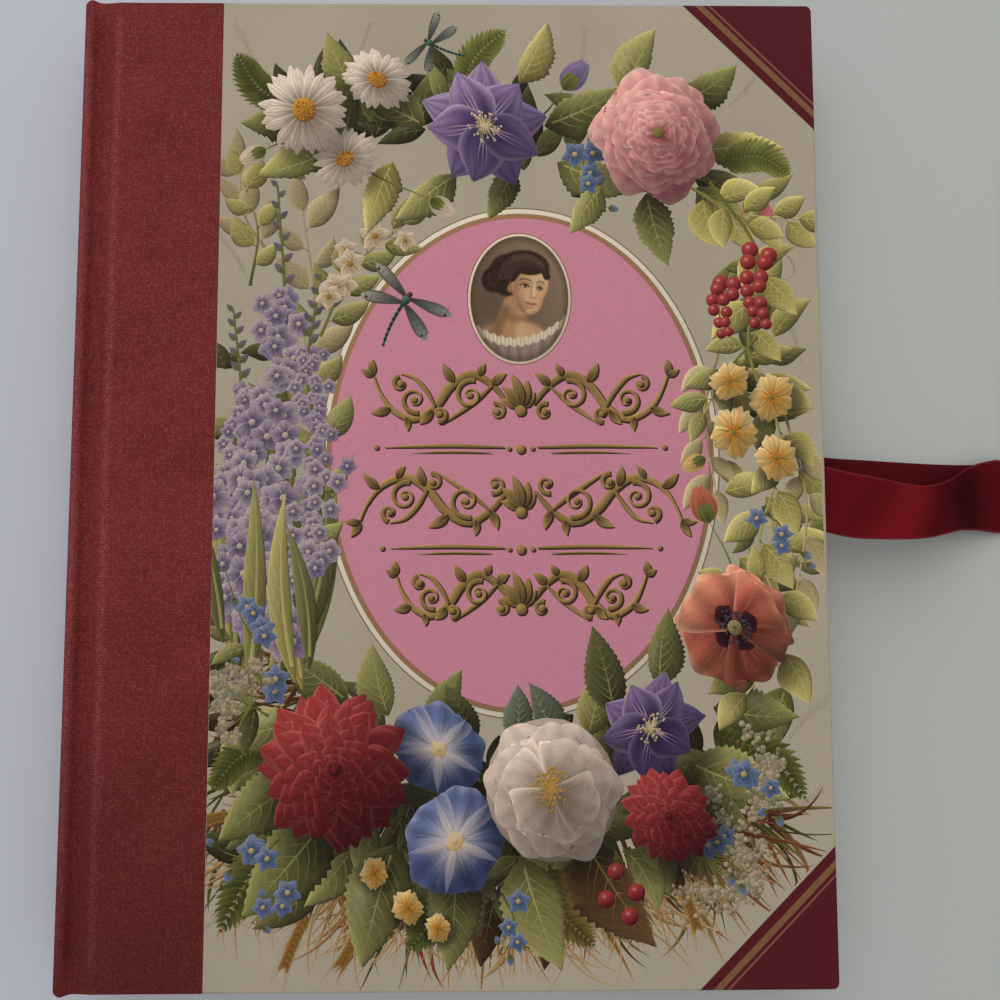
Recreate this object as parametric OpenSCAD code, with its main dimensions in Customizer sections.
// Photograph album, closed and lying on its back cover, with a ribbon tie at the fore-edge.
// Millimetres, +Z up: spine at -X, fore-edge at +X, head of the pages at +Y.

/* [Case] */
// Width of the closed case, from the outside of the spine to the fore-edge
case_w = 232; // [200:1:260]
// Height of the case, from the tail edge to the head edge
case_h = 305; // [280:1:340]
// Thickness of a cover board
board_t = 3; // [2.4:0.1:3.6]
// Thickness of the covering, cloth and printed paper alike
skin_t = 0.4; // [0.3:0.05:0.5]
// Radius of the boards' corners at the fore-edge
corner_r = 2; // [1:0.5:6]
// Width of the covering that is folded in over a board's inner face
turn_in = 15; // [10:1:20]
// Thickness of the pasted-down endpaper
paste_t = 0.3; // [0.2:0.05:0.4]
// Distance of the pasted-down endpaper from the board's edges
paste_inset = 4; // [3:0.5:6]

/* [Spine and joints] */
// Thickness of the spine stiffener
spine_t = 2.3; // [1.8:0.1:3]
// Radius of the spine's two long shoulders
shoulder_r = 2; // [1:0.1:2.2]
// Distance from the outside of the spine to the edge of a board
joint_w = 10.5; // [9.5:0.25:13]
// Distance from the outside of the spine to the bottom of the groove
groove_pos = 4.6; // [4.4:0.1:5.4]
// Depth of the groove
groove_depth = 2.1; // [1.2:0.1:2.3]
// Thickness of the sewing tapes
tape_t = 0.7; // [0.5:0.1:0.9]
// Width of a sewing tape
tape_w = 16; // [10:1:24]
// Thickness of the linen glued over the back of the stubs
lining_t = 0.4; // [0.3:0.1:0.6]
// Diameter of the head and tail bands
band_d = 2.4; // [1.8:0.1:2.8]

/* [Cloth quarter] */
// Width of the cloth from the outside of the spine to the edge of the paper
cloth_w = 44; // [36:1:60]

/* [Leaves] */
// Distance of the leaves' edges in from the case's edges
leaf_inset = 3.5; // [2.5:0.5:6]
// Thickness of a leaf's middle card
core_t = 0.8; // [0.6:0.1:1.2]
// Thickness of a window mat
mat_t = 0.6; // [0.4:0.1:0.8]
// Thickness of a flyleaf
fly_t = 0.2; // [0.15:0.05:0.3]
// Free space between one leaf and the next
leaf_gap = 0.3; // [0.3:0.05:0.5]
// Depth of the stubs that the leaves are hinged on
stub_d = 6; // [5:0.5:8]
// Free length of linen between a stub and its leaf's hinge line
tail_d = 2.2; // [1.8:0.1:3]
// Thickness of the linen guards
guard_t = 0.3; // [0.2:0.05:0.3]
// Clearance on each side of a linen hinge line
guard_gap = 0.25; // [0.25:0.05:0.4]
// Distance from a leaf's hinge line to the stiff card
card_start = 6; // [5.5:0.5:9]
// Width of linen glued inside the card
guard_glue = 10; // [6:1:16]

/* [Windows] */
// Width of the single window
cabinet_w = 120; // [100:1:140]
// Height of the single window
cabinet_h = 165; // [140:1:200]
// Width of each of the four small windows
visite_w = 57; // [50:1:64]
// Height of each of the four small windows
visite_h = 89; // [80:1:100]
// Space between the small windows, side by side
visite_gap_x = 26; // [14:1:36]
// Space between the small windows, one above the other
visite_gap_y = 34; // [24:1:50]
// Distance from a window to its slit
slit_drop = 6; // [4:0.5:9]
// Height of the slit that a photograph is slid in through
slit_h = 1; // [0.6:0.1:1.6]
// How much longer than its window is wide a slit is
slit_extra = 8; // [4:1:10]

/* [Ribbon] */
// Width of the ribbon
ribbon_w = 22; // [14:1:26]
// Thickness of the ribbon
ribbon_t = 0.4; // [0.3:0.05:0.4]
// Place of the ribbon's middle along the fore-edge, measured from mid height
ribbon_y = -5.5; // [-30:0.5:30]
// Length of ribbon glued in under the endpaper
anchor_d = 25; // [18:1:34]
// Clearance round the ribbon where it comes out
ribbon_gap = 0.3; // [0.3:0.05:0.6]
// How far the upper ribbon runs out while it falls to the table
fall_run = 54; // [40:1:80]
// How far the upper ribbon then runs on to its fold
front_run = 16; // [10:1:30]
// How far the lower ribbon runs out while it drops to the table
back_drop = 8; // [5:0.5:14]
// How far the lower ribbon runs out on the table to its fold
back_run = 62; // [50:1:80]
// Length of the upper ribbon past its fold
front_end = 104; // [60:1:120]
// Length of the lower ribbon past its fold
back_end = 112; // [60:1:120]
// Depth of the notch cut in a ribbon's end
notch_d = 9; // [4:1:14]
// Height of the lower ribbon's underside over the table
ribbon_rest = 0.2; // [0.1:0.1:0.4]

/* [Hidden] */
$fn = 64;
eps = 0.01;
leaf_count = 8;
tape_count = 3;
fall_steps = 18;
groove_steps = 20;
x0 = -case_w / 2;
x1 = case_w / 2;
half_h = case_h / 2;
leaf_t = core_t + 2 * mat_t;
pitch = leaf_t + leaf_gap;
turn_face = 2 * skin_t + board_t;
cover_t = turn_face + paste_t;
fly_z = cover_t + leaf_gap;
leaf_z = fly_z + fly_t + leaf_gap;
case_t = 2 * leaf_z + leaf_count * pitch - leaf_gap;
board_x0 = x0 + joint_w;
cloth_x = x0 + cloth_w;
spine_in = x0 + skin_t + spine_t;
lining_x = spine_in + tape_t;
stub_x0 = lining_x + lining_t;
stub_x1 = stub_x0 + stub_d;
hinge_x = stub_x1 + tail_d;
card_x0 = hinge_x + card_start;
leaf_x1 = x1 - leaf_inset;
leaf_half = half_h - leaf_inset;
page_x = (card_x0 + leaf_x1) / 2;
tie_x = x1 + ribbon_gap;
tie_top = case_t - turn_face + skin_t / 2;
anchor_t = min(ribbon_t, skin_t);
rest_top = ribbon_rest + 2 * ribbon_t;
tail_z = rest_top + ribbon_gap + ribbon_t / 2;
tail_x = tie_x + fall_run;
front_fold = tail_x + front_run;
back_fold = x1 + back_run;
function leaf_mid(k) = case_t - leaf_z - leaf_t / 2 - (k - 1) * pitch;

LEAF_PIECES = ["core", "face_mat", "back_mat", "guard"];
LEAF_NODES = [for (k = [1:leaf_count]) for (p = LEAF_PIECES) str("leaf_", k, "_", p)];

// A plain box given by its two corners
module block(a, b) {
    translate(a)
        cube(b - a);
}

// A board's outline with rounded corners at the fore-edge
module board_plan(xa, xb, hy, r) {
    union() {
        translate([xa, -hy])
            square([xb - xa - r, 2 * hy]);
        translate([xa, -hy + r])
            square([xb - xa, 2 * (hy - r)]);
        for (s = [-1, 1])
            translate([xb - r, s * (hy - r)])
                circle(r);
    }
}

// Everything of a cover is drawn with its outer face down, and this turns it over for the front
module as_front() {
    translate([0, 0, case_t])
        mirror([0, 0, 1])
            children();
}

module board_solid() {
    translate([0, 0, skin_t])
        linear_extrude(board_t)
            board_plan(board_x0, x1 - skin_t, half_h - skin_t, corner_r - skin_t);
}

// The place in the turned-in covering where a ribbon is glued in
module ribbon_slot() {
    block(
        [x1 - anchor_d, ribbon_y - ribbon_w / 2 - ribbon_gap, skin_t + board_t],
        [x1 + 1, ribbon_y + ribbon_w / 2 + ribbon_gap, turn_face + eps]
    );
}

// The covering of a whole board with its turned-in edges, before it is cut into cloth and paper
module covering() {
    difference() {
        linear_extrude(turn_face)
            board_plan(board_x0, x1, half_h, corner_r);
        board_solid();
        block(
            [board_x0 - 1, -half_h + turn_in, skin_t + board_t - eps],
            [x1 - turn_in, half_h - turn_in, turn_face + 1]
        );
        block(
            [board_x0 - 1, -half_h + skin_t, skin_t],
            [board_x0 + eps, half_h - skin_t, skin_t + board_t]
        );
        ribbon_slot();
    }
}

module quarter_cloth_solid() {
    intersection() {
        covering();
        block([x0 - 1, -case_h, -1], [cloth_x, case_h, case_t]);
    }
}

module siding_solid() {
    intersection() {
        covering();
        block([cloth_x, -case_h, -1], [x1 + 1, case_h, case_t]);
    }
}

module infill_solid() {
    difference() {
        block(
            [board_x0, -half_h + turn_in, skin_t + board_t],
            [x1 - turn_in, half_h - turn_in, turn_face]
        );
        ribbon_slot();
    }
}

module pastedown_solid() {
    block(
        [board_x0, -half_h + paste_inset, turn_face],
        [x1 - paste_inset, half_h - paste_inset, cover_t]
    );
}

module front_board() {
    color("#8f8878")
        as_front()
            board_solid();
}

module back_board() {
    color("#8f8878")
        board_solid();
}

module front_quarter_cloth() {
    color("#6c2a2d")
        as_front()
            quarter_cloth_solid();
}

module back_quarter_cloth() {
    color("#6c2a2d")
        quarter_cloth_solid();
}

module front_siding() {
    color("#b9ad95")
        as_front()
            siding_solid();
}

module back_siding() {
    color("#b9ad95")
        siding_solid();
}

module front_infill() {
    color("#cfc4ae")
        as_front()
            infill_solid();
}

module back_infill() {
    color("#cfc4ae")
        infill_solid();
}

module front_pastedown() {
    color("#d9b9b6")
        as_front()
            pastedown_solid();
}

module back_pastedown() {
    color("#d9b9b6")
        pastedown_solid();
}

// The spine's cross-section with rounded shoulders, seen along the spine
module spine_section(inset) {
    r = shoulder_r - inset;
    intersection() {
        union() {
            translate([x0 + inset + r, inset])
                square([spine_in - x0, case_t - 2 * inset]);
            translate([x0 + inset, inset + r])
                square([spine_in - x0, case_t - 2 * (inset + r)]);
            for (z = [inset + r, case_t - inset - r])
                translate([x0 + inset + r, z])
                    circle(r);
        }
        translate([x0, 0])
            square([spine_in - x0, case_t]);
    }
}

// Draws a cross-section in X and Z, and runs it along Y
module along_y(length) {
    translate([0, length / 2, 0])
        rotate([90, 0, 0])
            linear_extrude(length)
                children();
}

module spine_stiffener() {
    color("#8f8878")
        along_y(case_h - 2 * skin_t)
            spine_section(skin_t);
}

module spine_cloth() {
    color("#6c2a2d")
        difference() {
            along_y(case_h)
                spine_section(0);
            along_y(case_h - 2 * skin_t)
                spine_section(skin_t);
        }
}

// Height of the groove's surface below the cover's outer face at a distance from the spine's outside
function groove_at(u) =
    let(
        a = spine_in - x0,
        s = u < groove_pos ? (u - a) / (groove_pos - a) : (joint_w - u) / (joint_w - groove_pos)
    )
    groove_depth * (1 - cos(180 * s)) / 2;

module joint_cloth_solid() {
    us = [for (i = [0:groove_steps]) spine_in - x0 + (joint_w - spine_in + x0) * i / groove_steps];
    outer = [for (u = us) [x0 + u, groove_at(u)]];
    inner = [for (i = [groove_steps:-1:0]) [x0 + us[i], groove_at(us[i]) + skin_t]];
    along_y(case_h)
        polygon(concat(outer, inner));
}

module front_joint_cloth() {
    color("#5c2226")
        as_front()
            joint_cloth_solid();
}

module back_joint_cloth() {
    color("#5c2226")
        joint_cloth_solid();
}

module sewing_tapes() {
    color("#d8cfb8")
        for (i = [1:tape_count])
            translate([0, -leaf_half + 2 * leaf_half * (i - 0.5) / tape_count, 0])
                block([spine_in, -tape_w / 2, leaf_z], [lining_x, tape_w / 2, case_t - leaf_z]);
}

module spine_lining() {
    color("#c9c1ac")
        block([lining_x, -leaf_half, leaf_z], [stub_x0, leaf_half, case_t - leaf_z]);
}

// One stub for each leaf, with the fixed part of its linen
module stub_pack() {
    color("#d6c9ad")
        for (k = [1:leaf_count]) {
            z = leaf_mid(k);
            block([stub_x0, -leaf_half, z - leaf_t / 2], [stub_x1, leaf_half, z + leaf_t / 2]);
            block(
                [stub_x1 - eps, -leaf_half, z - guard_t / 2],
                [hinge_x - guard_gap, leaf_half, z + guard_t / 2]
            );
        }
}

module endpaper_stub_solid() {
    block([stub_x0, -leaf_half, fly_z], [hinge_x - guard_gap, leaf_half, fly_z + fly_t]);
    block([stub_x0, -leaf_half, fly_z + fly_t - eps], [stub_x1, leaf_half, leaf_z]);
}

module endpaper_stubs() {
    color("#d9b9b6") {
        endpaper_stub_solid();
        as_front()
            endpaper_stub_solid();
    }
}

module band_solid(s) {
    translate([stub_x0 + band_d / 2, s * (leaf_half + band_d / 2), leaf_z])
        cylinder(d = band_d, h = case_t - 2 * leaf_z);
}

module head_band() {
    color("#8a3a3e")
        band_solid(1);
}

module tail_band() {
    color("#8a3a3e")
        band_solid(-1);
}

module flyleaf_solid() {
    block([hinge_x + guard_gap, -leaf_half, fly_z], [leaf_x1, leaf_half, fly_z + fly_t]);
}

module front_flyleaf() {
    color("#d9b9b6")
        as_front()
            flyleaf_solid();
}

module back_flyleaf() {
    color("#d9b9b6")
        flyleaf_solid();
}

module leaf_guard(k) {
    z = leaf_mid(k);
    color("#d6c9ad")
        block(
            [hinge_x + guard_gap, -leaf_half, z - guard_t / 2],
            [card_x0 + guard_glue, leaf_half, z + guard_t / 2]
        );
}

module leaf_core(k) {
    z = leaf_mid(k);
    color("#cbbfa4")
        difference() {
            block([card_x0, -leaf_half, z - core_t / 2], [leaf_x1, leaf_half, z + core_t / 2]);
            block(
                [card_x0 - 1, -leaf_half - 1, z - guard_t / 2],
                [card_x0 + guard_glue, leaf_half + 1, z + guard_t / 2]
            );
        }
}

// A window with a round head, and the slit below it
module window_plan(w, h) {
    translate([-w / 2, -h / 2])
        square([w, h - w / 2]);
    translate([0, h / 2 - w / 2])
        circle(d = w);
    translate([-(w + slit_extra) / 2, -h / 2 - slit_drop - slit_h])
        square([w + slit_extra, slit_h]);
}

// Odd leaves have one window a side and even leaves have four
module leaf_windows(k) {
    if (k % 2 == 1)
        translate([page_x, 0])
            window_plan(cabinet_w, cabinet_h);
    else
        for (sx = [-1, 1])
            for (sy = [-1, 1])
                translate([page_x + sx * (visite_w + visite_gap_x) / 2, sy * (visite_h + visite_gap_y) / 2])
                    window_plan(visite_w, visite_h);
}

module mat_solid(k, z) {
    translate([0, 0, z])
        linear_extrude(mat_t)
            difference() {
                translate([card_x0, -leaf_half])
                    square([leaf_x1 - card_x0, 2 * leaf_half]);
                leaf_windows(k);
            }
}

module leaf_face_mat(k) {
    color("#e2d8c1")
        mat_solid(k, leaf_mid(k) + core_t / 2);
}

module leaf_back_mat(k) {
    color("#e2d8c1")
        mat_solid(k, leaf_mid(k) - core_t / 2 - mat_t);
}

// A ribbon's run to its fold, the fold, and the end past it, drawn to run out and then turn to +Y
module ribbon_flat(xa, xf, end_len) {
    h = ribbon_w / 2;
    linear_extrude(ribbon_t)
        polygon([[xa, -h], [xf, -h], [xf + ribbon_w, h], [xa, h]]);
    translate([0, 0, ribbon_t - eps])
        linear_extrude(ribbon_t)
            polygon([
                [xf, -h],
                [xf + ribbon_w, h],
                [xf + ribbon_w, h + end_len],
                [xf + h, h + end_len - notch_d],
                [xf, h + end_len]
            ]);
}

module front_tie_anchor() {
    color("#6d1019")
        as_front()
            block(
                [x1 - anchor_d, ribbon_y - ribbon_w / 2, skin_t + board_t],
                [x1, ribbon_y + ribbon_w / 2, skin_t + board_t + anchor_t]
            );
}

// Height of the falling ribbon's middle, from 0 at the cover to 1 at the table
function fall_at(s) = tie_top + (tail_z - tie_top) * (1 - cos(180 * s)) / 2;

module front_tie() {
    ss = [for (i = [0:fall_steps]) i / fall_steps];
    upper = [for (s = ss) [tie_x + fall_run * s, fall_at(s) + ribbon_t / 2]];
    lower = [for (i = [fall_steps:-1:0]) [tie_x + fall_run * ss[i], fall_at(ss[i]) - ribbon_t / 2]];
    color("#6d1019")
        translate([0, ribbon_y, 0]) {
            along_y(ribbon_w)
                polygon(concat(upper, lower));
            translate([0, 0, tail_z - ribbon_t / 2])
                ribbon_flat(tail_x - eps, front_fold, front_end);
        }
}

module back_tie() {
    za = skin_t + board_t;
    drop = x1 + back_drop;
    color("#4b0a12")
        translate([0, ribbon_y, 0]) {
            along_y(ribbon_w)
                polygon([
                    [x1 - anchor_d, za],
                    [x1, za],
                    [drop, ribbon_rest],
                    [drop + 1, ribbon_rest],
                    [drop + 1, ribbon_rest + ribbon_t],
                    [drop, ribbon_rest + ribbon_t],
                    [x1, za + anchor_t],
                    [x1 - anchor_d, za + anchor_t]
                ]);
            translate([0, 0, ribbon_rest])
                mirror([0, 1, 0])
                    ribbon_flat(drop + 1 - eps, back_fold, back_end);
        }
}

spine_stiffener();
spine_cloth();
spine_lining();
sewing_tapes();
stub_pack();
endpaper_stubs();
head_band();
tail_band();
front_joint_cloth();
back_joint_cloth();
front_board();
front_quarter_cloth();
front_siding();
front_infill();
front_pastedown();
front_tie_anchor();
back_board();
back_quarter_cloth();
back_siding();
back_infill();
back_pastedown();
back_tie();
front_flyleaf();
back_flyleaf();
front_tie();
for (k = [1:leaf_count]) {
    leaf_core(k);
    leaf_face_mat(k);
    leaf_back_mat(k);
    leaf_guard(k);
}
